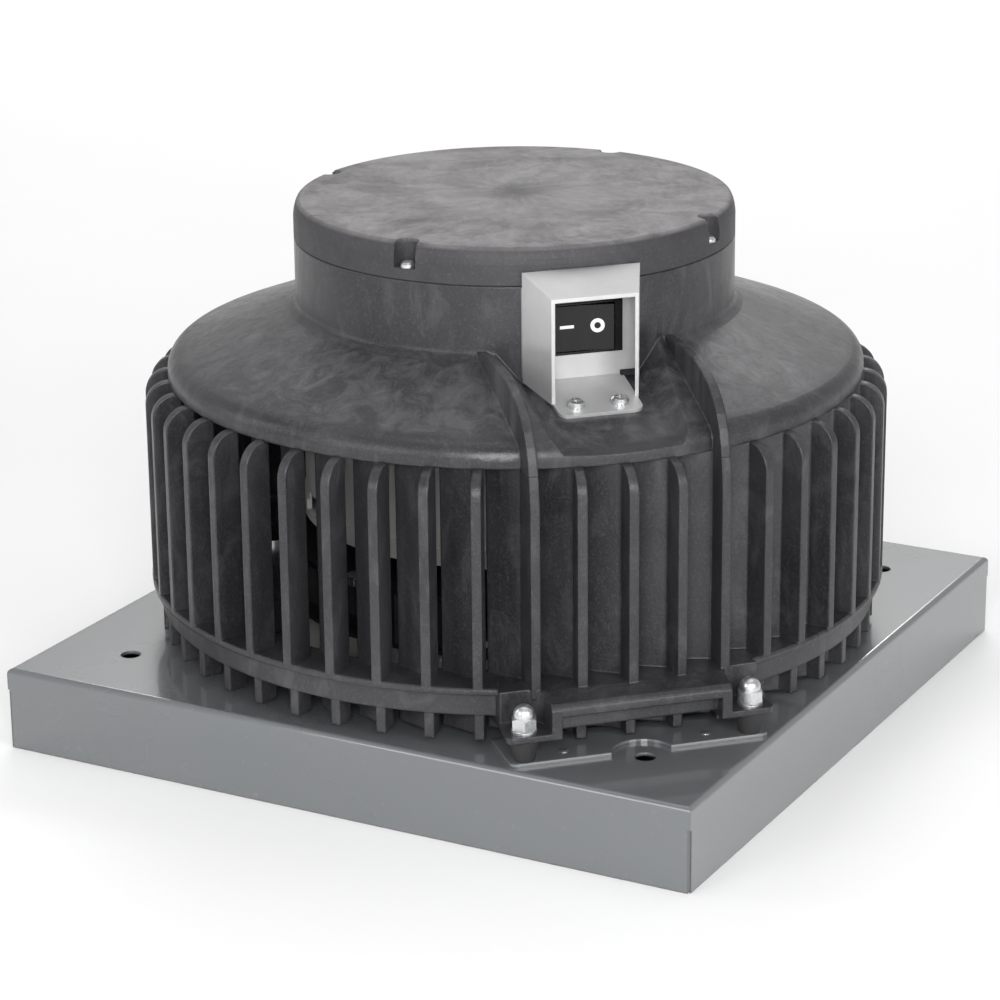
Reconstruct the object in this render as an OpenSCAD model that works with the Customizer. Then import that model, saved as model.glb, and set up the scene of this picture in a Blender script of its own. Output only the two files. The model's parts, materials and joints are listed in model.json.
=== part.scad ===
// Roof extract fan: folded steel base pan, moulded cowl with upright discharge fins,
// screwed service lid, hooded rocker switch, external rotor motor and backward curved wheel.
// Millimetres, +Z up, origin at the middle of the underside of the base pan.
// The switch looks towards the (+X, -Y) corner. Parts on the cowl are drawn with the switch
// towards -Y and turned by 45 degrees.

/* [Base] */
// side of the square base pan
base_w = 340; // [330:1:352]
// height of the base pan
base_h = 38; // [34:0.5:38]
// sheet thickness of the base pan
base_t = 1.5; // [1:0.1:2]
// bend radius outside
base_r = 2.5; // [2:0.5:3.5]
// spacing of the four roof bolts
bolt_pitch = 260; // [258:1:262]
// roof bolt hole diameter
bolt_d = 9; // [7:0.5:10]

/* [Cowl] */
// number of fin stations round the cowl
fin_n = 48; // [48:1:48]
// outer radius of the fins
fin_r = 169.3; // [168:0.1:169.5]
// fin thickness
fin_t = 4.2; // [3.6:0.1:4.6]
// inner radius of the fins
fin_ri = 156; // [154:0.5:158]
// thickness of the inner vanes
vane_t = 2.6; // [2:0.1:3]
// outer radius of the roof rim
roof_r = 158.5; // [157:0.5:160]
// underside of the roof rim
rim_z = 159.5; // [159.5:0.5:159.5]
// outer radius of the collar and lid
collar_r = 99.6; // [99.6:0.1:99.6]
// height of the seam between lid and collar
seam_z = 221.6; // [221:0.1:222]
// wall thickness of the moulding
wall = 3; // [2.5:0.1:3.2]
// top of the lower ring
ring_z = 66; // [66:0.5:66]

/* [Switch] */
// distance of the hood's back plate from the axis
hood_d = 98; // [98:0.1:98]
// half width of the hood at the back
hood_wb = 26.4; // [26:0.1:27]
// half width of the hood at the front
hood_wf = 19.4; // [19:0.1:19.8]
// sheet thickness of the hood
hood_t = 1.5; // [1:0.1:1.6]
// height of the rocker's middle
rock_z = 202.3; // [201.8:0.1:202.8]
// tilt of the rocker either side of level
rock_tilt = 4.5; // [4:0.1:5]

/* [Motor and wheel] */
// wheel outer radius
wheel_r = 110; // [100:1:116]
// blades on the wheel
blade_n = 8; // [6:1:10]
// rotor outer radius
rotor_r = 45.5; // [45.5:0.5:45.5]
// inlet throat radius
throat_r = 80; // [78:0.5:81]

/* [Hidden] */
$fn = 96;
e = 0.01;
cone_k = 0.38;             // fall of the roof per millimetre of radius
cone_z = 190.2;            // roof height at the collar
pocket_k = 0.235;          // fall of the switch pocket floor
pocket_a = atan(pocket_k);
screw_d = 120.5;           // hood screw distance
seat_z = 178.2 - pocket_k * (screw_d - hood_d);
gland_z = 203;             // height of the cable entry
foot_d = 174.5;            // cap nut distance along the diagonal
foot_x = 50.1;             // cap nut distance across
plate_h = 1.6;             // thickness of the foot brackets
ear_z = 52.1;              // floor of the foot pockets
ear_f = 181.3;             // front of the feet and of the bar between them
pl_z = 93.8;               // underside of the motor plate
drum_r = 97.3;
nuts = [[foot_x, -foot_d], [-foot_x, -foot_d], [foot_x, foot_d], [-foot_x, foot_d]];
lid_a = [45, 135, 225, 315];
lid_sr = 96.3;             // lid screw radius
clamp_p = [51.3, 31.8];    // screw of the capacitor clamp
rib_top = [[84, 192.5], [100, 193.4], [114, 193.8], [125, 193], [133, 191.4], [140, 189.2],
  [147, 186.2], [153, 182], [157.5, 177], [160.8, 171], [163, 164.6], [164, 159.5]];
rib_low = [[164, 159.5], [165, 154], [165.7, 147], [166, 140]];

// ---------- helpers ----------
module turned() rotate([0, 0, 45]) children();

// outline [distance towards the switch, height], as a slab t thick in X about x = x0
module slab(x0, t, pts)
  translate([x0 + t / 2, 0, 0]) rotate([90, 0, -90]) linear_extrude(t) polygon(pts);

module ring(ro, ri, z0, z1) {
  difference() {
    translate([0, 0, z0]) cylinder(r = ro, h = z1 - z0);
    translate([0, 0, z0 - 1]) cylinder(r = ri, h = z1 - z0 + 2);
  }
}

module hexbar(af, h) cylinder(r = af / sqrt(3), h = h, $fn = 6);

module block(x0, x1, d0, d1, z0, z1)
  translate([x0, -d1, z0]) cube([x1 - x0, d1 - d0, z1 - z0]);

// four by symmetry about both axes
module four() for (p = nuts) translate([p[0], p[1], 0]) children();

// pan head screw pointing down, seat of the head at z = 0, cross recess
module pan_screw(hr, hh, sr, len) {
  difference() {
    union() {
      cylinder(r = hr, h = hh * 0.55);
      translate([0, 0, hh * 0.55 - e]) cylinder(r1 = hr, r2 = hr * 0.72, h = hh * 0.45 + e);
      translate([0, 0, -len]) cylinder(r = sr, h = len + e);
    }
    for (a = [0, 90]) rotate([0, 0, a])
      translate([-hr * 0.55, -0.4, hh * 0.5]) cube([hr * 1.1, 0.8, hh]);
  }
}

// ---------- base ----------
module pan_edge(len) {
  linear_extrude(len, center = true) {
    translate([-base_w / 2, 0]) square([base_w, base_h - base_r]);
    translate([-base_w / 2 + base_r, 0]) square([base_w - 2 * base_r, base_h]);
    for (s = [-1, 1]) translate([s * (base_w / 2 - base_r), base_h - base_r]) circle(r = base_r);
  }
}

module base_pan() {
  color("#84898c") difference() {
    intersection() {
      rotate([90, 0, 0]) pan_edge(base_w);
      rotate([90, 0, 90]) pan_edge(base_w);
    }
    translate([-base_w / 2 + base_t, -base_w / 2 + base_t, -1])
      cube([base_w - 2 * base_t, base_w - 2 * base_t, base_h - base_t + 1]);
    translate([0, 0, base_h - 4]) cylinder(r = 91, h = 8);
    for (x = [-1, 1], y = [-1, 1]) translate([x * bolt_pitch / 2, y * bolt_pitch / 2, base_h - 4])
      cylinder(d = bolt_d, h = 8);
    // butted corner seams of the folded sheet
    for (a = [45, 135, 225, 315]) rotate([0, 0, a])
      translate([base_w * 0.7071 - 1.7, -0.75, -1]) cube([12, 1.5, base_h - 9]);
    // rivet, stud and bracket holes
    for (i = [0:7]) rotate([0, 0, 22.5 + 45 * i]) translate([101, 0, base_h - 4])
      cylinder(r = 2, h = 8);
    turned() {
      four() translate([0, 0, base_h - 4]) cylinder(r = 3, h = 8);
      for (x = [-31.7, 31.7], y = [-171, 171]) translate([x, y, base_h - 4])
        cylinder(r = 1.6, h = 8);
    }
  }
}

module inlet_ring() {
  c = throat_r + 12;
  color("#b9bcbb") difference() {
    rotate_extrude() {
      translate([c, base_h]) square([16, 1.2]);
      translate([throat_r, base_h + 12]) square([1.2, 3]);
      intersection() {
        difference() {
          translate([c, base_h + 12]) circle(r = 12);
          translate([c, base_h + 12]) circle(r = 10.8);
        }
        translate([throat_r, base_h]) square([12, 12]);
      }
    }
    for (i = [0:7]) rotate([0, 0, 22.5 + 45 * i]) translate([101, 0, base_h - 4])
      cylinder(r = 2, h = 8);
  }
}

module ring_rivets() {
  color("#c9cbca") for (i = [0:7]) rotate([0, 0, 22.5 + 45 * i]) translate([101, 0, 0]) {
    translate([0, 0, base_h - base_t]) cylinder(r = 2, h = base_t + 1.2 + e);
    translate([0, 0, base_h + 1.2]) cylinder(r1 = 3.6, r2 = 2.2, h = 1.1);
  }
}

// ---------- feet ----------
module bracket_plan() {
  difference() {
    polygon([[-57.3, -150], [-57.3, -176.6], [-57, -177.7], [-56.4, -178.5], [-55.5, -179],
      [-54.5, -179.2], [54.5, -179.2], [55.5, -179], [56.4, -178.5], [57, -177.7], [57.3, -176.6],
      [57.3, -150]]);
    translate([0, -182.2]) circle(r = 13.6);
    for (s = [-1, 1]) {
      translate([s * foot_x, -foot_d]) circle(r = 3);
      translate([s * 31.7, -171]) circle(r = 1.6);
    }
  }
}

module foot_brackets() {
  color("#84898c") turned() for (a = [0, 180]) rotate([0, 0, a])
    translate([0, 0, base_h]) linear_extrude(plate_h) bracket_plan();
}

module bracket_rivets() {
  color("#dcdedd") turned() for (x = [-31.7, 31.7], y = [-171, 171]) translate([x, y, 0]) {
    translate([0, 0, base_h - base_t]) cylinder(r = 1.6, h = base_t + plate_h + e);
    translate([0, 0, base_h + plate_h]) cylinder(r1 = 2.4, r2 = 1.5, h = 0.7);
  }
}

module foot_buffers() {
  color("#2b2b2e") turned() four() difference() {
    translate([0, 0, base_h + plate_h]) cylinder(r1 = 4.4, r2 = 6.8, h = ear_z - 2.8 - base_h - plate_h);
    translate([0, 0, base_h]) cylinder(r = 3, h = 14);
  }
}

module foot_studs() {
  color("#c8cac9") turned() four() translate([0, 0, base_h - base_t]) cylinder(r = 3, h = 23);
}

module foot_washers() {
  color("#cfd1d0") turned() four() ring(5.5, 3, ear_z, ear_z + 1.1);
}

module cap_nuts() {
  color("#d3d6d5") turned() four() translate([0, 0, ear_z + 1.1]) difference() {
    union() {
      intersection() {
        rotate([0, 0, 15]) hexbar(10, 5.8);
        union() {
          cylinder(r1 = 5.1, r2 = 5.8, h = 0.5);
          translate([0, 0, 0.5 - e]) cylinder(r = 5.8, h = 4.5);
          translate([0, 0, 5 - 2 * e]) cylinder(r1 = 5.8, r2 = 4.7, h = 0.9);
        }
      }
      translate([0, 0, 5.7]) cylinder(r = 4.6, h = 0.9);
      translate([0, 0, 6.6]) intersection() {
        sphere(r = 4.6);
        translate([-5, -5, -e]) cube([10, 10, 6]);
      }
    }
    translate([0, 0, -1]) cylinder(r = 3, h = 9.4);
  }
}

// ---------- cowl ----------
module fin_side(z0) {
  // radial outline of a fin, rounded where it leaves the roof
  translate([fin_ri, z0]) square([fin_r - fin_ri, 148.6 - z0]);
  translate([fin_ri, 148.5]) square([roof_r - fin_ri, rim_z - 148.5]);
  intersection() {
    translate([roof_r - 0.2, 148.5]) circle(r = 11);
    translate([fin_ri, 148.4]) square([fin_r - fin_ri, 11.2]);
  }
}

module fin() {
  rotate([90, 0, -90]) linear_extrude(fin_t, center = true) difference() {
    fin_side(41);
    translate([165.2, 30]) square([10, 34]);
  }
}

module vane() {
  translate([0, 0, 41]) linear_extrude(rim_z - 41) polygon([[fin_t / 2, -159], [fin_t / 2, -156],
    [-15.9, -145.9], [-17.4, -148.2], [-3, -157.6], [-fin_t / 2, -158.4]]);
}

module rib_fin(s)
  slab(s * 42, 4, concat([[150, 159.5]], rib_low, [[166, 62], [162, 62], [162, 41], [150, 41]]));

// outline of a foot: inner wall, floor and the web that closes it towards the cowl
module ear_plan() {
  difference() {
    union() {
      polygon([[35.4, -150], [35.4, -ear_f], [55.6, -ear_f], [57.2, -180.9], [58.4, -179.9],
        [59, -178.5], [59.1, -177], [56.8, -159.5], [56.8, -150]]);
    }
    circle(r = 151);
  }
}

// nut pocket, open to the front and to the outside
module ear_pocket() {
  translate([0, 0, ear_z]) linear_extrude(20) {
    translate([47.8, -200]) square([20, 200 - 163.4]);
    translate([39.8, -200]) square([30, 200 - 171.4]);
    translate([47.8, -171.4]) circle(r = 8);
  }
}

module ear() {
  difference() {
    intersection() {
      translate([0, 0, ear_z - 2.8]) linear_extrude(20) ear_plan();
      slab(50, 60, [[140, 30], [200, 30], [ear_f + 1, 60.8], [181.1, 62.2], [180.2, 63.5],
        [178.6, 64.4], [167.5, ring_z], [140, ring_z]]);
    }
    ear_pocket();
    translate([foot_x, -foot_d, 40]) cylinder(r = 3, h = 20);
  }
}

module foot_bar() {
  slab(0, 70.9, [[150, 59], [ear_f, 59], [ear_f, 60.8], [181.1, 62.2], [180.2, 63.5],
    [178.6, 64.4], [167.5, ring_z], [150, ring_z]]);
  slab(0, 70.9, [[172, 51.3], [174.6, 51.3], [174.6, 60], [172, 60]]);
}

module cowl_grille() {
  color("#56555a") turned() {
    // lower ring: floor, upright band and outer lip
    rotate_extrude() {
      polygon([[147.5, 63.2], [169.4, 63.2], [169.5, 65.1], [168.7, ring_z], [147.5, ring_z]]);
      translate([162.4, 52.6]) square([3.1, 11]);
    }
    for (k = [0:fin_n - 1]) rotate([0, 0, k * 360 / fin_n])
      if (k != 2 && k != fin_n - 2) fin();
    for (k = [0:fin_n - 1]) rotate([0, 0, k * 360 / fin_n]) vane();
    for (s = [-1, 1]) rib_fin(s);
    for (a = [0, 180]) rotate([0, 0, a]) {
      ear();
      mirror([1, 0, 0]) ear();
      foot_bar();
    }
  }
}

// prism of the pocket that holds the switch; g grows it all round
module pocket(g, d0) {
  intersection() {
    translate([0, -hood_d, 178.2]) rotate([90 + pocket_a, 0, 0]) translate([0, 0, -30])
      linear_extrude(120) polygon([[-26 - g, -g], [26 + g, -g], [38.5 + g, 14], [38.5 + g, 30],
        [-38.5 - g, 30], [-38.5 - g, 14]]);
    block(-50, 50, d0, 190, 140, 230);
  }
}

module roof_outer() {
  difference() {
    rotate_extrude() {
      polygon([[0, rim_z], [roof_r, rim_z], [roof_r, 162.5], [roof_r - 5.16, 169.98],
        [103.2, 189.03], [101.8, 189.9], [100.6, 190.8], [99.85, 191.9], [99.4, 194.2], [0, 194.2]]);
      translate([roof_r - 8, 162.5]) circle(r = 8);
    }
    translate([0, 0, rim_z - 20]) cylinder(r = 170, h = 20);
    pocket(0, 85);
  }
}

module roof_cavity() {
  difference() {
    union() {
      rotate_extrude() polygon([[0, rim_z - 1], [roof_r - 3.9, rim_z - 1], [roof_r - 3.9, 164.4],
        [roof_r - 5.6, 166.2], [collar_r - wall, cone_z - 2.1], [0, cone_z - 2.1]]);
      translate([0, 0, 170]) cylinder(r = collar_r - wall, h = 60);
    }
    pocket(wall, 92.5);
    block(-30.5, 30.5, 92.5, 100, 172, 232);
  }
}

module cowl_roof() {
  color("#56555a") turned() difference() {
    union() {
      difference() {
        union() {
          roof_outer();
          difference() {
            translate([0, 0, rim_z]) cylinder(r = collar_r, h = seam_z - rim_z);
            block(-hood_wb - 0.3, hood_wb + 0.3, 96.5, 110, 178.4, 232);
            pocket(0, 96.5);
          }
        }
        roof_cavity();
      }
      // the two tall ribs either side of the switch
      for (s = [-1, 1]) slab(s * 42, 4, concat(rib_top, [[152, 159.5], [150, 166], [145, 168.9],
        [120, 177.6], [91, 187.6], [86, 188]]));
      // web that the vanes hang from
      ring(155.2, 145.3, rim_z, rim_z + 2.5);
      // bosses for the lid screws and the drum
      for (a = lid_a) rotate([0, 0, a]) translate([0, -94.3, 196]) cylinder(r = 4.6, h = seam_z - 196);
      for (i = [0:5]) rotate([0, 0, 30 + 60 * i]) translate([0, -105, 168]) cylinder(r = 4.5, h = 18.4);
      // threaded bosses under the switch pocket
      for (x = [-9.8, 9.8]) translate([x, -screw_d, 162]) cylinder(r = 4, h = 9);
    }
    block(-15.4, 15.4, 85, 110, rock_z - 11.3, rock_z + 11.3);
    for (a = lid_a) rotate([0, 0, a]) translate([0, -lid_sr, 205]) cylinder(r = 1.75, h = 30);
    for (i = [0:5]) rotate([0, 0, 30 + 60 * i]) translate([0, -105, 160]) cylinder(r = 2, h = 20);
    for (x = [-9.8, 9.8]) translate([x, -screw_d, seat_z]) rotate([pocket_a, 0, 0])
      translate([0, 0, -12]) cylinder(r = 1.9, h = 20);
    // cable entry at the back
    translate([0, 80, gland_z]) rotate([-90, 0, 0]) cylinder(r = 8.05, h = 30);
    translate([-13, 98.9, 192]) cube([26, 6, 26]);
  }
}

// ---------- lid ----------
module lid() {
  color("#6a696d") turned() difference() {
    union() {
      rotate_extrude() {
        difference() {
          union() {
            polygon([[0, seam_z + 0.4], [collar_r, seam_z + 0.4], [collar_r, 231.2],
              [99.3, 233.6], [98.7, 235.9], [98, 237.5], [97.4, 238.1], [96.5, 238.4],
              [60, 239.2], [0, 239.4]]);
          }
          polygon([[0, seam_z - 2], [collar_r - wall, seam_z - 2], [collar_r - wall, 233.8],
            [94, 235.8], [60, 236.4], [0, 236.6]]);
        }
        translate([92.8, seam_z - 4]) square([3.2, 12]);
        translate([92.8, seam_z + 4]) square([6, 3]);
      }
      for (a = lid_a) rotate([0, 0, a]) intersection() {
        translate([0, -94.4, seam_z + 0.4]) cylinder(r = 8, h = 15);
        translate([0, 0, 220]) cylinder(r = 98.8, h = 30);
      }
      for (i = [0:7]) rotate([0, 0, 22.5 + 45 * i]) translate([-1, -93.5, 233.2]) cube([2, 60, 3.1]);
      ring(34.5, 32.5, 233.2, 236.5);
    }
    for (a = lid_a) rotate([0, 0, a]) {
      translate([0, -97, 227]) cylinder(r = 5.3, h = 20);
      translate([-5.3, -110, 227]) cube([10.6, 13, 20]);
      translate([0, -lid_sr, 210]) cylinder(r = 1.75, h = 30);
      translate([0, -94.3, seam_z - 6]) cylinder(r = 5.1, h = 6.3);
    }
    // flat behind the switch hood
    block(-hood_wb - 0.6, hood_wb + 0.6, hood_d - 0.1, 110, 215, 229.2);
    // gate mark in the middle of the top
    translate([0, 0, 239]) cylinder(r1 = 3, r2 = 11, h = 0.5);
    block(-31, 31, 90.5, 97, 210, seam_z + 0.3);
  }
}

module lid_gasket() {
  color("#1d1d1f") turned() difference() {
    ring(99.1, 96.7, seam_z, seam_z + 0.4);
    for (a = lid_a) rotate([0, 0, a]) translate([0, -lid_sr, 210]) cylinder(r = 1.75, h = 30);
    block(-31, 31, 90.5, 110, 210, 230);
  }
}

module lid_screws() {
  color("#dadcdb") turned() for (a = lid_a) rotate([0, 0, a]) translate([0, -lid_sr, 227])
    pan_screw(3.3, 2.4, 1.75, 18);
}

// ---------- switch ----------
module hood_plan(g) {
  k = (hood_wb - hood_wf) / 19.3;
  polygon([[-hood_wb + g, -hood_d + 1.5], [hood_wb - g, -hood_d + 1.5], [hood_wb - g, -hood_d],
    [hood_wb - g - 19.3 * k, -hood_d - 19.3], [hood_wb - g - 26 * k, -hood_d - 26],
    [-hood_wb + g + 26 * k, -hood_d - 26], [-hood_wb + g + 19.3 * k, -hood_d - 19.3],
    [-hood_wb + g, -hood_d]]);
}

module tab_frame() translate([0, -hood_d, 178.2]) rotate([pocket_a, 0, 0]) children();

module switch_hood() {
  t = hood_t;
  color("#b4b6b6") turned() difference() {
    union() {
      difference() {
        intersection() {
          translate([0, 0, 170]) linear_extrude(62) hood_plan(0);
          slab(0, 80, [[96.5, 181.6], [98, 181.6], [98, 180], [117.3, 174.7], [117.3, 220.7],
            [98, 228.3], [98, 221.2], [96.5, 221.2]]);
        }
        intersection() {
          translate([0, 0, 168]) linear_extrude(66) hood_plan(t * 1.1);
          slab(0, 80, [[98, 160], [130, 160], [130, 213.9], [98, 226.6]]);
        }
      }
      // tab that lies on the pocket floor
      tab_frame() linear_extrude(t) {
        translate([-18.8, -26]) square([37.6, 25]);
        translate([-14.4, -30.4]) square([28.8, 10]);
        for (s = [-1, 1]) translate([s * 14.4, -26]) circle(r = 4.4);
      }
      slab(0, 34.8, [[96.5, 178.7], [99.5, 178.05], [99.5, 179.5], [98, 180], [98, 184],
        [96.5, 184]]);
    }
    block(-15.3, 15.3, 90, 100, rock_z - 11.2, rock_z + 11.2);
    for (x = [-9.8, 9.8]) translate([x, -screw_d, seat_z]) rotate([pocket_a, 0, 0])
      translate([0, 0, -12]) cylinder(r = 1.9, h = 20);
  }
}

module hood_screws() {
  color("#e2e4e3") turned() for (x = [-9.8, 9.8]) translate([x, -screw_d, seat_z])
    rotate([pocket_a, 0, 0]) translate([0, 0, hood_t]) pan_screw(3.9, 2.6, 1.9, 11);
}

module switch_body() {
  color("#161617") turned() translate([0, 0, rock_z]) difference() {
    union() {
      block(-18.2, 18.2, hood_d, hood_d + 1.2, -11.7, 11.7);
      block(-17.5, 17.5, hood_d + 1.1, hood_d + 1.9, -11, 11);
      block(-15.2, 15.2, 78, hood_d + 0.5, -11.1, 11.1);
      // snap latches behind the collar wall
      for (s = [-1, 1]) slab(s * 15.6, 1, [[88, -4], [92.3, -4], [92.3, 4], [88, 4]]);
    }
    block(-14.7, 14.7, 90.5, 103, -10.4, 10.4);
    translate([0, -95.5, -11.5]) cylinder(r = 1.56, h = 23);
  }
}

module rocker_solid() {
  // level rocker about its own pivot, its face two flats that meet in the middle
  translate([0, 0, -10]) linear_extrude(20) polygon([[-14, -5.4], [0, -4.3], [14, -5.4],
    [14, -4.4], [9.8, 2], [-9.8, 2], [-14, -4.4]]);
}

module mark_shapes() {
  translate([-9.8, -10, 0.1]) cube([6.3, 20, 1.4]);
  translate([6.8, 0, 0.8]) rotate([90, 0, 0]) difference() {
    cylinder(r = 3.1, h = 30, center = true);
    cylinder(r = 1.4, h = 32, center = true);
  }
}

module mark_zone() {
  intersection() {
    mark_shapes();
    translate([0, 0, -8]) linear_extrude(16) polygon([[-14, -5.4], [0, -4.3], [14, -5.4],
      [14, -5], [0, -3.9], [-14, -5]]);
  }
}

module at_rocker() turned() translate([0, -95.5, rock_z]) rotate([0, 0, -rock_tilt]) children();

module rocker() {
  color("#101011") at_rocker() {
    difference() {
      rocker_solid();
      mark_zone();
    }
    for (s = [-1, 1]) translate([0, 0, s > 0 ? 9.9 : -10.8]) cylinder(r = 1.5, h = 0.9);
  }
}

module rocker_marks() {
  color("#f2f2f2") at_rocker() mark_zone();
}

module switch_tabs() {
  color("#c9a24a") turned() for (x = [-8, 8], z = [-5, 5]) translate([0, 0, rock_z + z])
    difference() {
      block(x - 3.15, x + 3.15, 69.5, 78, -0.4, 0.4);
      translate([x, -73, -2]) cylinder(r = 0.9, h = 4);
    }
}

// ---------- cable entry ----------
module cable_gland() {
  color("#2a2a2c") turned() translate([0, 98.9, gland_z]) rotate([-90, 0, 0]) difference() {
    union() {
      translate([0, 0, -12]) cylinder(r = 7.9, h = 12.5);
      hexbar(20, 5);
      translate([0, 0, 5 - e]) cylinder(r = 9, h = 2);
      translate([0, 0, 7 - e]) rotate([0, 0, 30]) hexbar(19, 7);
      translate([0, 0, 14 - 2 * e]) cylinder(r1 = 9, r2 = 6.2, h = 5 + 2 * e);
    }
    translate([0, 0, -13]) cylinder(r = 4.5, h = 40);
  }
}

module gland_nut() {
  color("#2a2a2c") turned() translate([0, 90.9, gland_z]) rotate([-90, 0, 0]) difference() {
    rotate([0, 0, 30]) hexbar(22, 4.6);
    translate([0, 0, -1]) cylinder(r = 7.9, h = 8);
  }
}

// ---------- motor carrier ----------
module windows() {
  for (i = [0:3]) rotate([0, 0, -87 + 90 * i]) translate([-10, -110, 97.3]) cube([20, 30, 8]);
}

module motor_drum() {
  color("#c3c3bf") turned() difference() {
    union() {
      ring(drum_r, drum_r - 1, pl_z + 1.5, 168);
      ring(112, drum_r - 1, 166.5, 168);
    }
    for (i = [0:5]) rotate([0, 0, 30 + 60 * i]) translate([0, -105, 160]) cylinder(r = 2, h = 20);
    // cooling windows just above the hem
    windows();
  }
}

module drum_screws() {
  color("#cfd1d0") turned() for (i = [0:5]) rotate([0, 0, 30 + 60 * i])
    translate([0, -105, 166.5]) mirror([0, 0, 1]) pan_screw(4, 2.6, 2, 13);
}

module plate_holes() {
  for (a = [45, 135, 225, 315]) rotate([0, 0, a]) translate([32, 0, pl_z - 20]) cylinder(r = 2.5, h = 40);
}

module motor_plate() {
  color("#b9b9b5") turned() difference() {
    union() {
      translate([0, 0, pl_z]) cylinder(r = 98.6, h = 1.5);
      ring(98.6, drum_r + 0.05, pl_z, 102);
    }
    plate_holes();
    translate([0, -20, pl_z - 2]) cylinder(r = 5, h = 8);
    for (p = [clamp_p, [-46, 20], [-46, -20], [0, 60]]) translate([p[0], p[1], pl_z - 2])
      cylinder(r = 2, h = 8);
    windows();
  }
}

module motor_flange() {
  color("#a9abac") turned() difference() {
    union() {
      translate([0, 0, 87]) cylinder(r = 40, h = pl_z - 87);
      translate([0, 0, 54]) cylinder(r = 14, h = 34);
    }
    translate([0, 0, 50]) cylinder(r = 11, h = 11);
    translate([0, 0, 60]) cylinder(r = 9.2, h = 22);
    translate([0, 0, 81]) cylinder(r = 11, h = 9);
    translate([0, -20, 80]) cylinder(r = 5, h = 20);
    for (a = [45, 135, 225, 315]) rotate([0, 0, a]) translate([32, 0, 86]) cylinder(r = 2.5, h = 10);
    ring(36.5, 34.5, 85, 87.8);
  }
}

module motor_screws() {
  color("#cfd1d0") turned() for (a = [45, 135, 225, 315]) rotate([0, 0, a])
    translate([32, 0, pl_z + 1.5]) difference() {
      union() {
        hexbar(8, 3.5);
        translate([0, 0, -7.5]) cylinder(r = 2.5, h = 8);
      }
      translate([0, 0, 2.8]) cylinder(r = 2.4, h = 2);
    }
}

module stator_core() {
  color("#7d7f80") turned() translate([0, 0, 58]) linear_extrude(18) difference() {
    circle(r = 37);
    circle(r = 14);
    for (i = [0:11]) rotate([0, 0, 30 * i]) {
      translate([21, -3.2]) square([11.5, 6.4]);
      translate([32, -1]) square([8, 2]);
    }
  }
}

module stator_winding() {
  color("#b5652b") turned() {
    for (z = [[55.6, 58], [76, 80]]) ring(31.5, 20, z[0], z[1]);
    translate([0, 0, 57.9]) linear_extrude(18.2) for (i = [0:11]) rotate([0, 0, 30 * i])
      translate([21.3, -2.9]) square([10, 5.8]);
  }
}

module bearings() {
  color("#c4c7c8") turned() for (z = [54, 81]) translate([0, 0, z]) difference() {
    cylinder(r = 11, h = 6);
    translate([0, 0, -1]) cylinder(r = 4.05, h = 8);
    ring(9.2, 6, -1, 0.5);
    ring(9.2, 6, 5.5, 7);
  }
}

module motor_shaft() {
  color("#d0d2d3") turned() {
    translate([0, 0, 45.5]) cylinder(r = 4, h = 42.6);
    translate([0, 0, 88.1 - e]) cylinder(r1 = 4, r2 = 3.3, h = 0.7);
  }
}

module rotor_cage() {
  color("#8d8f90") turned() ring(42.4, 37.5, 57, 77);
}

module rotor_can() {
  color("#3a3b3d") turned() difference() {
    union() {
      translate([0, 0, 44]) cylinder(r = rotor_r, h = 40);
      translate([0, 0, 43]) cylinder(r = 26, h = 2);
      ring(56, rotor_r - 1, 79.6, 81.8);
    }
    translate([0, 0, 47]) difference() {
      cylinder(r = 42.4, h = 50);
      translate([0, 0, -1]) cylinder(r = 9, h = 6);
    }
    translate([0, 0, 45.5]) cylinder(r = 4, h = 20);
    for (i = [0:3]) rotate([0, 0, 45 + 90 * i]) translate([51, 0, 70]) cylinder(r = 2, h = 20);
  }
}

// ---------- wheel ----------
module blade_plan() {
  for (i = [0:blade_n - 1]) rotate([0, 0, i * 360 / blade_n]) intersection() {
    translate([72.7, 0]) difference() {
      circle(r = 76);
      circle(r = 73.6);
    }
    difference() {
      circle(r = wheel_r - 0.4);
      circle(r = 62);
    }
    square([160, 160]);
  }
}

module impeller() {
  color("#1f1f21") turned() {
    difference() {
      union() {
        ring(wheel_r, rotor_r + 0.1, 81.8, 84.3);
        ring(47.4, rotor_r + 0.1, 84.2, 86.5);
      }
      for (i = [0:3]) rotate([0, 0, 45 + 90 * i]) translate([51, 0, 70]) cylinder(r = 2, h = 20);
    }
    rotate_extrude() polygon([[83.5, 46.5], [85.7, 46.5], [87.5, 50], [wheel_r, 56.5], [wheel_r, 58.7],
      [86.3, 52.2], [83.5, 49]]);
    intersection() {
      translate([0, 0, 46]) linear_extrude(36) blade_plan();
      rotate_extrude() polygon([[60, 64], [79, 56.5], [82.4, 54.6], [84.2, 49.4], [86.5, 51.4],
        [wheel_r, 57.6], [wheel_r, 82], [60, 82]]);
    }
  }
}

module impeller_rivets() {
  color("#c9cbca") turned() for (i = [0:3]) rotate([0, 0, 45 + 90 * i]) translate([51, 0, 0]) {
    translate([0, 0, 79.6]) cylinder(r = 2, h = 4.7);
    translate([0, 0, 78.4]) cylinder(r1 = 2.4, r2 = 3.4, h = 1.2);
    translate([0, 0, 84.3]) cylinder(r1 = 3.4, r2 = 2.4, h = 1.2);
  }
}

module balance_clip() {
  color("#e4e6e6") turned() rotate([0, 0, -59.4]) difference() {
    block(-4, 4, wheel_r - 9, wheel_r + 0.7, 81.1, 85);
    block(-5, 5, wheel_r - 10, wheel_r, 81.8, 84.3);
    block(-5, 5, wheel_r - 12, wheel_r - 3, 78, 81.8);
  }
}

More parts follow.
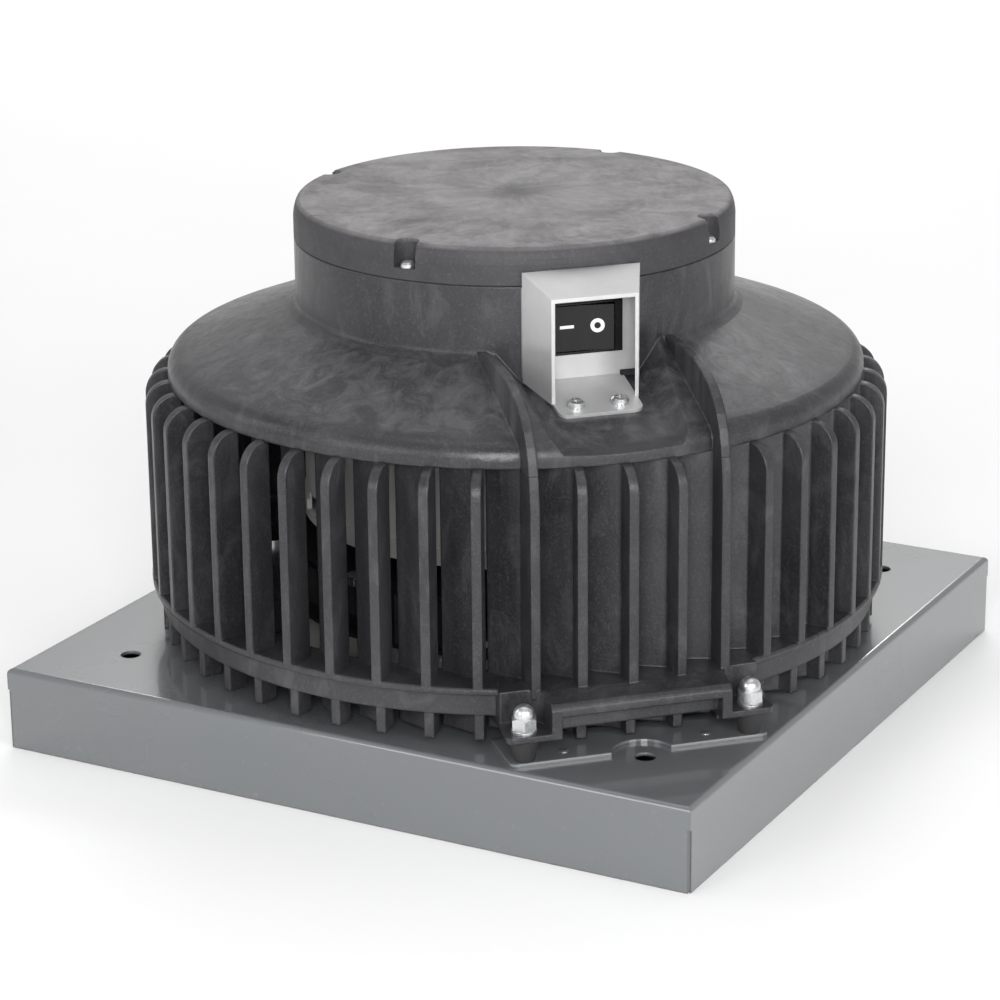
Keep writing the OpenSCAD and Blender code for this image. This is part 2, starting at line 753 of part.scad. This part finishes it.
// ---------- electrical parts inside the drum ----------
module capacitor() {
  color("#d6d7d4") turned() translate([32, 40, pl_z + 1.5]) {
    cylinder(r = 15, h = 54);
    translate([0, 0, 54 - e]) cylinder(r = 12, h = 1.5);
    for (x = [-5, 5]) translate([x - 0.4, -3, 55]) cube([0.8, 6, 8]);
  }
}

module capacitor_clamp() {
  color("#b9b9b5") turned() translate([32, 40, pl_z + 1.5]) difference() {
    union() {
      ring(16.2, 15, 16, 26);
      rotate([0, 0, -23]) translate([15.6, -5, 0]) cube([1.2, 10, 26]);
      rotate([0, 0, -23]) translate([15.6, -5, 0]) cube([11, 10, 1.2]);
    }
    translate([clamp_p[0] - 32, clamp_p[1] - 40, -1]) cylinder(r = 2, h = 4);
    cylinder(r = 15, h = 60);
  }
}

module clamp_screw() {
  color("#cfd1d0") turned() translate([clamp_p[0], clamp_p[1], pl_z + 2.7])
    pan_screw(3.4, 2.2, 2, 6);
}

module terminal_block() {
  color("#e3e1d6") turned() difference() {
    union() {
      translate([-54, -34, pl_z + 1.5]) cube([16, 68, 8]);
      translate([-52, -34, pl_z + 9.4]) cube([12, 68, 9]);
    }
    for (i = [0:5]) translate([-46, -25 + 10 * i, pl_z + 12]) cylinder(r = 2.6, h = 10);
    for (i = [0:5]) translate([-60, -25 + 10 * i, pl_z + 7]) rotate([0, 90, 0]) cylinder(r = 2, h = 30);
    for (y = [-20, 20]) translate([-46, y, pl_z]) cylinder(r = 2, h = 30);
  }
}

module terminal_screws() {
  color("#d4c27a") turned() for (i = [0:5]) translate([-46, -25 + 10 * i, pl_z + 12]) difference() {
    cylinder(r = 2.55, h = 4);
    translate([-3, -0.4, 3.2]) cube([6, 0.8, 2]);
  }
}

module block_screws() {
  color("#cfd1d0") turned() for (y = [-20, 20]) translate([-46, y, pl_z + 18.4])
    pan_screw(2.4, 1.6, 2, 24);
}

// ---------- leads held inside the drum ----------
lead_start = [0, -20, 88.2];
motor_path = [[0, -20, 84], lead_start, [0, -20, 98], [-3, -21, 108], [-14, -22, 114],
  [-24, -19, 112], [-29, -16, 106], [-31, -15, 100]];
core_ends = [-25, -15, -5];

function cat(a, b, c, d, t) = 0.5 * ((2 * b) + (c - a) * t + (2 * a - 5 * b + 4 * c - d) * t * t
  + (3 * b - a - 3 * c + d) * t * t * t);
function curve(p, n) = concat([for (i = [1:len(p) - 3], j = [0:n - 1])
  cat(p[i - 1], p[i], p[i + 1], p[i + 2], j / n)], [p[len(p) - 2]]);
function unit(v) = v / norm(v);
function along(p, i) = unit(p[min(i + 1, len(p) - 1)] - p[max(i - 1, 0)]);
function side_of(t) = unit(cross(t, [0.31, 0.83, 0.27]));

// round lead of radius r along the curve through p, eight sided
module lead(p, r, n) {
  c = curve(p, n);
  m = 8;
  pts = [for (i = [0:len(c) - 1], j = [0:m - 1])
    let (t = along(c, i), u = side_of(t), w = cross(t, u))
    c[i] + r * (cos(j * 360 / m) * u + sin(j * 360 / m) * w)];
  fc = concat([[for (j = [0:m - 1]) j]],
    [for (i = [0:len(c) - 2], j = [0:m - 1])
      [i * m + j, (i + 1) * m + j, (i + 1) * m + (j + 1) % m, i * m + (j + 1) % m]],
    [[for (j = [0:m - 1]) (len(c) - 1) * m + m - 1 - j]]);
  polyhedron(points = pts, faces = fc, convexity = 4);
}

module motor_lead() {
  color("#303133") turned() lead(motor_path, 3, 5);
}

module motor_cores() {
  color("#7a4a2b") turned() for (k = [0:2])
    lead([[-26, -17 + 0.6 * k, 112], [-29.4, -17.9 + 1.9 * k, 104.5 + 0.65 * k], [-33.5, core_ends[k], 101.6],
      [-38, core_ends[k], 100.8], [-42, core_ends[k], 100.8]], 0.8, 5);
}

module switch_leads() {
  color("#23395e") turned() for (m = [0:3]) {
    x = m < 2 ? 8 : -8;
    z = rock_z + (m % 2 == 0 ? 5 : -5);
    yl = -56 - 3 * m;
    xl = -63 - 3 * m;
    y = -5 + 10 * m;
    lead([[x, -74, z], [x, -69.3, z], [x - 0.5, yl - 0.5, z - 3], [x - 5, yl, z - 14], [-28, yl, 166],
      [xl + 10, yl + 3, 142], [xl, yl + 14, 125], [xl, y - 22, 109], [xl + 3, y - 5, 102],
      [-56, y, 100.9], [-50, y, 100.8], [-46, y, 100.8]], 1.1, 4);
  }
}

module earth_screw() {
  color("#5f8f4e") turned() translate([0, 60, pl_z + 1.5]) {
    difference() {
      union() {
        hexbar(7, 3);
        translate([0, 0, -5]) cylinder(r = 2, h = 6);
      }
      translate([-4, -0.4, 2.2]) cube([8, 0.8, 2]);
    }
  }
}

base_pan();
inlet_ring();
ring_rivets();
foot_brackets();
bracket_rivets();
foot_buffers();
foot_studs();
foot_washers();
cap_nuts();
cowl_grille();
cowl_roof();
lid();
lid_gasket();
lid_screws();
switch_hood();
hood_screws();
switch_body();
rocker();
rocker_marks();
switch_tabs();
cable_gland();
gland_nut();
motor_drum();
drum_screws();
motor_plate();
motor_flange();
motor_screws();
stator_core();
stator_winding();
bearings();
motor_shaft();
rotor_cage();
rotor_can();
impeller();
impeller_rivets();
balance_clip();
capacitor();
capacitor_clamp();
clamp_screw();
terminal_block();
terminal_screws();
earth_screw();
block_screws();
motor_lead();
motor_cores();
switch_leads();
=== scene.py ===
import json
import math

import bpy
from mathutils import Matrix, Vector


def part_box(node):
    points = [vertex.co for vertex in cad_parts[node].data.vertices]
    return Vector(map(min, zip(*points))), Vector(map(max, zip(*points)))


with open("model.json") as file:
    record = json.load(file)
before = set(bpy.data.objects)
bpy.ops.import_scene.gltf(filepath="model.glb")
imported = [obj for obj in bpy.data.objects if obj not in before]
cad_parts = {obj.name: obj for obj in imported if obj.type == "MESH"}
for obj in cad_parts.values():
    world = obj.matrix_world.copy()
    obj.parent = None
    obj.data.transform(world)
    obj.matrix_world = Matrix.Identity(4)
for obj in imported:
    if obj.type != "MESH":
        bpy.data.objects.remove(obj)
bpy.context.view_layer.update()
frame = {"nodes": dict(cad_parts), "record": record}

scene = bpy.context.scene

# ---------------------------------------------------------------- places from the frame, in metres
pan_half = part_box("base_pan")[1].x      # half the pan's width
collar_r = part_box("lid")[1].x           # the lid and the collar share one outer radius
roof_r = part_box("cowl_roof")[1].x       # outer radius of the roof
lid_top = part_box("lid")[1].z            # middle of the lid's shallow dome

# ---------------------------------------------------------------- camera
VIEW_AZIMUTH = math.radians(28.56)      # from straight in front, round to the right
VIEW_ELEVATION = math.radians(18.67)
VIEW_ROLL = math.radians(-0.59)
LENS_MM = 120.83
SENSOR_MM = 36


def towards(azimuth, elevation):
    """Unit vector from the object to a viewer at these angles."""
    return Vector((math.sin(azimuth) * math.cos(elevation),
                   -math.cos(azimuth) * math.cos(elevation),
                   math.sin(elevation)))


def make_camera():
    """The photo's view. The four lengths are in half widths of the pan."""
    aim_height, distance, left, down = 0.6, 9.147, 0.045, 0.052
    back = towards(VIEW_AZIMUTH, VIEW_ELEVATION)
    level = Vector((math.cos(VIEW_AZIMUTH), math.sin(VIEW_AZIMUTH), 0))
    upright = back.cross(level)
    right = math.cos(VIEW_ROLL) * level + math.sin(VIEW_ROLL) * upright
    up = -math.sin(VIEW_ROLL) * level + math.cos(VIEW_ROLL) * upright
    lens = bpy.data.cameras.new("camera")
    lens.sensor_width = SENSOR_MM
    lens.lens = LENS_MM
    lens.clip_start = 0.05
    lens.clip_end = 50
    camera = bpy.data.objects.new("camera", lens)
    place = Matrix((right, up, back)).transposed().to_4x4()
    aim = Vector((0, 0, aim_height * pan_half))
    place.translation = aim + pan_half * (distance * back - left * right - down * up)
    camera.matrix_world = place
    scene.collection.objects.link(camera)
    scene.camera = camera


# ---------------------------------------------------------------- material helper
def add_node(tree, kind, sockets=None, **props):
    """A new node with these properties, and these values on its inputs."""
    made = tree.nodes.new(kind)
    for key, value in props.items():
        setattr(made, key, value)
    for key, value in (sockets or {}).items():
        made.inputs[key].default_value = value
    return made


class Mat:
    """One material's nodes. Patterns lie in the object's own space, in metres."""

    def __init__(self, name, **sockets):
        self.material = bpy.data.materials.new(name)
        self.material.use_nodes = True
        self.tree = self.material.node_tree
        self.shader = self.tree.nodes["Principled BSDF"]
        for key, value in sockets.items():
            self.shader.inputs[key.replace("_", " ")].default_value = value
        self.place = self.node("ShaderNodeTexCoord").outputs["Object"]

    def node(self, kind, sockets=None, **props):
        return add_node(self.tree, kind, sockets, **props)

    def link(self, source, target):
        self.tree.links.new(source, target)

    def mapped(self, source=None, stretch=(1, 1, 1), turn=(0, 0, 0)):
        mapping = self.node("ShaderNodeMapping", {"Scale": stretch, "Rotation": turn})
        self.link(source or self.place, mapping.inputs["Vector"])
        return mapping.outputs[0]

    def noise(self, scale, detail=4, rough=0.55, stretch=(1, 1, 1), turn=(0, 0, 0), distort=0.0, at=None):
        noise = self.node("ShaderNodeTexNoise", {
            "Scale": scale, "Detail": detail, "Roughness": rough, "Distortion": distort})
        self.link(self.mapped(at, stretch, turn), noise.inputs["Vector"])
        return noise.outputs[0]

    def ramp(self, value, low, high, to=(0.0, 1.0)):
        """Carries low..high over to the range in to, and holds the ends beyond it."""
        remap = self.node("ShaderNodeMapRange", {
            "From Min": low, "From Max": high, "To Min": to[0], "To Max": to[1]})
        self.link(value, remap.inputs["Value"])
        return remap.outputs[0]

    def math(self, operation, *values):
        made = self.node("ShaderNodeMath", operation=operation)
        for value, socket in zip(values, made.inputs):
            if isinstance(value, (int, float)):
                socket.default_value = value
            else:
                self.link(value, socket)
        return made.outputs[0]

    def vector(self, *parts):
        made = self.node("ShaderNodeCombineXYZ")
        for part, socket in zip(parts, made.inputs):
            self.link(part, socket)
        return made.outputs[0]

    def from_axis(self):
        """x, y and z, and the distance from the object's upright axis."""
        split = self.node("ShaderNodeSeparateXYZ")
        self.link(self.place, split.inputs[0])
        x, y, z = split.outputs
        squares = self.math("ADD", self.math("MULTIPLY", x, x), self.math("MULTIPLY", y, y))
        return x, y, z, self.math("SQRT", squares)

    def mix(self, amount, under, over):
        """One colour over another; each is a tuple or another node's output."""
        made = self.node("ShaderNodeMix", data_type="RGBA")
        factor, first, second = made.inputs[0], made.inputs[6], made.inputs[7]
        self.link(amount, factor)
        for colour, socket in ((under, first), (over, second)):
            if isinstance(colour, tuple):
                socket.default_value = colour + (1,)
            else:
                self.link(colour, socket)
        return made.outputs[2]

    def surface(self, colour, rough):
        self.link(colour, self.shader.inputs["Base Color"])
        self.link(rough, self.shader.inputs["Roughness"])

    def soft_edge(self, radius, samples):
        """Normals that round every sharp edge off by this radius."""
        return self.node("ShaderNodeBevel", {"Radius": radius}, samples=samples).outputs[0]

    def bump(self, height, depth, strength, normal):
        """Relief of this depth laid over a normal. The shader takes the last one made."""
        made = self.node("ShaderNodeBump", {"Strength": strength, "Distance": depth})
        self.link(height, made.inputs["Height"])
        self.link(normal, made.inputs["Normal"])
        self.link(made.outputs[0], self.shader.inputs["Normal"])
        return made.outputs[0]


def grey(value, red=0.0, blue=0.0):
    """A grey with a little more red or blue in it."""
    return (value + red, value, value + blue)


def scaled(colour, factor, lift=0.0):
    return tuple(min(1, part * factor + lift) for part in colour)


# ---------------------------------------------------------------- materials
CONE_FADE_IN = (0.0014, 0.0064)         # outward from the collar
CONE_FADE_OUT = (0.0065, 0.0095)        # inward from the roof's rim
PLASTIC_IOR = 1.48


def plastic(name, base, light, streak):
    """Glass filled moulding: speckle, wisps on the cone, faint scuffs and a fine grain."""
    m = Mat(name, IOR=PLASTIC_IOR)
    x, y, _, r = m.from_axis()
    outward = m.math("MULTIPLY", r, 7.0)
    wrapped = m.vector(m.math("DIVIDE", x, r), m.math("DIVIDE", y, r), outward)
    wisp = m.noise(9, 7, 0.72, distort=1.1, at=wrapped)
    on_cone = m.math("MULTIPLY",
                     m.ramp(r, *(collar_r + margin for margin in CONE_FADE_IN)),
                     m.ramp(r, *(roof_r - margin for margin in CONE_FADE_OUT)))
    cloud = m.noise(22, 5, 0.6, stretch=(1, 1, 0.6))
    mottle = m.noise(55, 6, 0.7, stretch=(1, 1, 0.5), distort=1.6)
    speck = m.noise(900, 3, 0.7)
    scuff_along = m.noise(120, 6, 0.75, stretch=(1, 1, 0.22), turn=(0.5, 0.3, 0.4), distort=1.2)
    scuff_across = m.noise(95, 6, 0.75, stretch=(0.2, 1, 1), turn=(0.2, 0.9, 0.7), distort=1.0)
    colour = m.mix(m.ramp(cloud, 0.35, 0.65), base, light)
    colour = m.mix(m.ramp(mottle, 0.5, 0.7, to=(0, 0.45)), colour, streak)
    colour = m.mix(m.math("MULTIPLY", m.ramp(wisp, 0.44, 0.66, to=(0.1, 1.0)), on_cone), colour, streak)
    colour = m.mix(m.ramp(speck, 0.52, 0.75, to=(0, 0.55)), colour, streak)
    colour = m.mix(m.ramp(scuff_along, 0.6, 0.78, to=(0, 0.35)), colour, streak)
    colour = m.mix(m.ramp(scuff_across, 0.6, 0.78, to=(0, 0.3)), colour, streak)
    rough = m.math("ADD",
                   m.ramp(cloud, 0.3, 0.7, to=(0.33, 0.45)),
                   m.ramp(scuff_along, 0.45, 0.75, to=(-0.06, 0.10)))
    m.surface(colour, rough)
    normal = m.bump(m.noise(1500, 2, 0.6), 0.00012, 0.6, m.soft_edge(0.0012, 8))
    normal = m.bump(speck, 0.00014, 0.5, normal)
    m.bump(m.noise(60, 3), 0.0005, 0.25, normal)
    return m


def flow_lid(name):
    """The lid: on top, material runs outward from the gate in the middle in curved, feathered fans; the
    whole top is painted paler than the side, a painted sheen.
    """
    gate, well = (0.0012, 0.0022), (0.004, 0.019)           # the gate's mark and the dark patch round it
    halo_inner, halo_outer = (0.012, 0.030), (0.062, 0.036)  # the pale ring beyond
    edge = (lid_top - 0.0028, lid_top - 0.0015)             # height where the side turns into the top
    # the top's colours: the flow marks' own tone, raised well above the side's into a painted sheen
    dark, mid, light = grey(0.034, 0.003, 0.002), grey(0.078, 0.006, 0.003), grey(0.148, 0.009, 0.004)
    m = Mat(name, IOR=PLASTIC_IOR)
    x, y, z, r = m.from_axis()
    sway = m.math("MULTIPLY", m.noise(9, 5, 0.65, distort=2.2), 0.9)
    angle = m.math("ADD", m.math("ARCTAN2", y, x), sway)
    outward = m.math("MULTIPLY", r, 9.0)
    wrapped = m.vector(m.math("COSINE", angle), m.math("SINE", angle), outward)
    fan = m.noise(3.6, 8, 0.72, distort=0.8, at=wrapped)
    feather = m.noise(11, 8, 0.78, distort=1.0, at=wrapped)
    speck = m.noise(900, 3, 0.7)
    cloud = m.noise(17, 7, 0.68, distort=2.6)
    halo = m.math("MULTIPLY", m.ramp(r, *halo_inner), m.ramp(r, *halo_outer))
    top = m.mix(m.ramp(fan, 0.40, 0.60), mid, light)
    top = m.mix(m.ramp(feather, 0.46, 0.62, to=(0, 0.6)), top, light)
    top = m.mix(m.ramp(cloud, 0.46, 0.64, to=(0, 0.5)), top, dark)
    top = m.mix(m.math("MULTIPLY", halo, 0.5), top, grey(0.15, 0.008, 0.003))
    top = m.mix(m.ramp(r, *well, to=(0.9, 0.0)), top, grey(0.024, 0.002, 0.002))
    top = m.mix(m.ramp(r, *gate, to=(0.9, 0.0)), top, grey(0.015))
    side = m.mix(m.ramp(cloud, 0.3, 0.7), grey(0.024, 0.001, 0.004), grey(0.044, 0.002, 0.004))
    # painted sheen: the top is painted paler than the side of the same moulding
    colour = m.mix(m.ramp(z, *edge), side, top)
    colour = m.mix(m.ramp(speck, 0.55, 0.75, to=(0, 0.25)), colour, grey(0.16))
    rough = m.math("ADD",
                   m.ramp(feather, 0.35, 0.65, to=(0.62, 0.50)),
                   m.ramp(cloud, 0.3, 0.7, to=(-0.05, 0.07)))
    m.surface(colour, rough)
    normal = m.bump(speck, 0.0001, 0.4, m.soft_edge(0.0005, 6))
    m.bump(feather, 0.0002, 0.25, normal)
    return m


def painted(name, base, light):
    """Powder coat: slight orange peel, a little pale dust all over, a glossy skin."""
    m = Mat(name, IOR=1.5, Coat_Weight=1.0, Coat_Roughness=0.06, Coat_IOR=1.6)
    cloud = m.noise(7, 4, 0.6)
    dust = m.noise(260, 5, 0.7)
    colour = m.mix(m.ramp(cloud, 0.3, 0.7), base, light)
    colour = m.mix(m.ramp(dust, 0.62, 0.8, to=(0, 0.12)), colour, grey(0.5))
    m.surface(colour, m.ramp(cloud, 0.3, 0.7, to=(0.24, 0.32)))
    m.bump(m.noise(420, 2, 0.5), 0.00005, 0.25, m.soft_edge(0.0014, 8))
    return m


def metal(name, base, rough, scale=300, stretch=(1, 1, 1), relief=0.00004, dark=0.85, spangle=0.0,
          metallic=1.0):
    """Bare or plated metal: a grain that may be drawn out one way, and zinc spangle where asked for."""
    m = Mat(name, Metallic=metallic)
    grain = m.noise(scale, 5, 0.65, stretch)
    cloud = m.noise(30, 4, 0.6)
    colour = m.mix(m.ramp(cloud, 0.3, 0.7), scaled(base, dark), base)
    if spangle:
        cells = m.node("ShaderNodeTexVoronoi", {"Scale": 170})
        m.link(m.mapped(), cells.inputs["Vector"])
        shade = m.node("ShaderNodeSeparateColor")
        m.link(cells.outputs["Color"], shade.inputs[0])
        colour = m.mix(m.ramp(shade.outputs[0], 0, 1, to=(0, spangle)), colour, scaled(base, 0.7))
    m.surface(colour, m.math("ADD",
                             m.ramp(grain, 0.3, 0.7, to=(rough - 0.06, rough + 0.06)),
                             m.ramp(cloud, 0.3, 0.7, to=(-0.03, 0.03))))
    m.bump(grain, relief, 0.5, m.soft_edge(0.0003, 4))
    return m


def simple(name, base, rough, scale=500, spread=0.15, relief=0.00006, **sockets):
    """One slightly uneven colour: moulded, rubber, insulated and blackened parts."""
    m = Mat(name, **sockets)
    grain = m.noise(scale, 4, 0.65)
    cloud = m.noise(40, 4, 0.6)
    colour = m.mix(m.ramp(cloud, 0.3, 0.7), scaled(base, 1 - spread), scaled(base, 1 + spread))
    colour = m.mix(m.ramp(grain, 0.55, 0.8, to=(0, 0.25)), colour, scaled(base, 1.5, lift=0.01))
    m.surface(colour, m.ramp(grain, 0.3, 0.7, to=(rough - 0.06, rough + 0.06)))
    m.bump(grain, relief, 0.5, m.soft_edge(0.0003, 4))
    return m


UPRIGHT_GRAIN = (1, 1, 0.05)            # pattern drawn out along z
LEVEL_GRAIN = (0.05, 0.05, 1)           # pattern drawn out along x and y

MATERIALS = {
    "pan_paint": painted("pan_paint", (0.116, 0.124, 0.129), (0.124, 0.132, 0.137)),
    "cowl_plastic": plastic("cowl_plastic", grey(0.018, 0.001, 0.003), grey(0.032, 0.001, 0.004),
                            grey(0.085, 0.002, 0.006)),
    "lid_plastic": flow_lid("lid_plastic"),
    "zinc_sheet": metal("zinc_sheet", (0.92, 0.91, 0.88), 0.5, spangle=0.08, metallic=0.0, dark=0.95),
    "stainless": metal("stainless", (0.62, 0.62, 0.62), 0.42, 900, UPRIGHT_GRAIN, metallic=0.55),
    "zinc_bright": metal("zinc_bright", (0.70, 0.71, 0.72), 0.30, 800, metallic=0.92),
    "rubber": simple("rubber", grey(0.022), 0.75),
    "switch_black": simple("switch_black", grey(0.006), 0.24, 1500, relief=0.00001, IOR=1.38),
    "mark_white": simple("mark_white", grey(0.84), 0.5, spread=0.03),
    "nylon_black": simple("nylon_black", grey(0.022), 0.45),
    "wheel_black": simple("wheel_black", grey(0.012), 0.5),
    "aluminium": metal("aluminium", (0.62, 0.63, 0.64), 0.5, 500, relief=0.0001),
    "steel_dark": simple("steel_dark", grey(0.03), 0.4),
    "lamination": metal("lamination", (0.30, 0.30, 0.31), 0.5, 2500, LEVEL_GRAIN),
    "copper": metal("copper", (0.72, 0.30, 0.12), 0.35, 1600, LEVEL_GRAIN),
    "brass": metal("brass", (0.75, 0.52, 0.22), 0.3, 700),
    "shell_white": simple("shell_white", (0.72, 0.72, 0.69), 0.4, spread=0.04),
    "block_cream": simple("block_cream", (0.70, 0.67, 0.56), 0.45, spread=0.05),
    "earth_green": simple("earth_green", (0.05, 0.22, 0.06), 0.4),
    "sheath_black": simple("sheath_black", grey(0.02), 0.6),
    "core_brown": simple("core_brown", (0.13, 0.05, 0.02), 0.45),
    "lead_blue": simple("lead_blue", (0.02, 0.06, 0.22), 0.42),
}


def dress_nodes():
    """Each CAD node takes the material that the record names for it."""
    for subpart in frame["record"]["subparts"]:
        slots = frame["nodes"][subpart["node"]].data.materials
        slots.clear()
        slots.append(MATERIALS[subpart["material_slot"]].material)


# ---------------------------------------------------------------- floor, world and lights
FLOOR_SIZE = 40
FLOOR_GAP = 0.0002                      # the floor lies this far below the pan


def make_floor():
    white = Mat("floor_white", Roughness=0.7)
    tone = white.ramp(white.noise(3, 3), 0.3, 0.7)
    white.link(white.mix(tone, grey(0.90), grey(0.92)), white.shader.inputs["Base Color"])
    half = FLOOR_SIZE / 2
    corners = [(x, y, -FLOOR_GAP) for x, y in ((-half, -half), (half, -half), (half, half), (-half, half))]
    mesh = bpy.data.meshes.new("floor")
    mesh.from_pydata(corners, [], [(0, 1, 2, 3)])
    floor = bpy.data.objects.new("floor", mesh)
    floor.data.materials.append(white.material)
    scene.collection.objects.link(floor)


def make_world():
    """White all round, brightest where a level surface such as the pan's top mirrors the line of sight."""
    mirrored = towards(VIEW_AZIMUTH + math.pi, VIEW_ELEVATION)
    world = bpy.data.worlds.new("studio")
    world.use_nodes = True
    scene.world = world
    tree = world.node_tree
    background = tree.nodes["Background"]
    background.inputs["Color"].default_value = (1, 1, 1, 1)
    direction = add_node(tree, "ShaderNodeTexCoord")
    facing = add_node(tree, "ShaderNodeVectorMath", {1: mirrored}, operation="DOT_PRODUCT")
    strength = add_node(tree, "ShaderNodeMapRange", {
        "From Min": 0.35, "From Max": 0.9, "To Min": 0.44, "To Max": 0.60})
    tree.links.new(direction.outputs["Generated"], facing.inputs[0])
    tree.links.new(facing.outputs["Value"], strength.inputs["Value"])
    tree.links.new(strength.outputs[0], background.inputs["Strength"])


def area(name, place, aim, width, watts, height=None):
    """A rectangular lamp, square unless it is given a height."""
    lamp = bpy.data.lights.new(name, "AREA")
    lamp.shape = "RECTANGLE"
    lamp.size = width
    lamp.size_y = height or width
    lamp.energy = watts
    holder = bpy.data.objects.new(name, lamp)
    holder.location = place
    holder.rotation_euler = (Vector(aim) - Vector(place)).to_track_quat("-Z", "Y").to_euler()
    scene.collection.objects.link(holder)


def make_lights():
    middle = (0, 0, 0.1)
    area("front", (0.88, -1.72, 0.85), middle, width=0.7, watts=24)
    area("front_right", (2.0, -0.95, 0.95), middle, width=0.9, watts=18)
    area("front_left", (-0.7, -2.1, 0.95), (0, 0, 0.08), width=0.9, watts=10)
    area("strip_left", (-1.9, -0.9, 0.9), middle, width=0.35, watts=5, height=1.2)
    area("top", (0.1, 0.2, 2.0), middle, width=1.6, watts=6.5)
    area("floor_wash", (-1.6, 3.6, 2.2), (-1.7, 3.9, 0), width=2.2, watts=120)


make_camera()
dress_nodes()
make_floor()
make_world()
make_lights()
scene.view_settings.view_transform = "Standard"
scene.view_settings.look = "None"
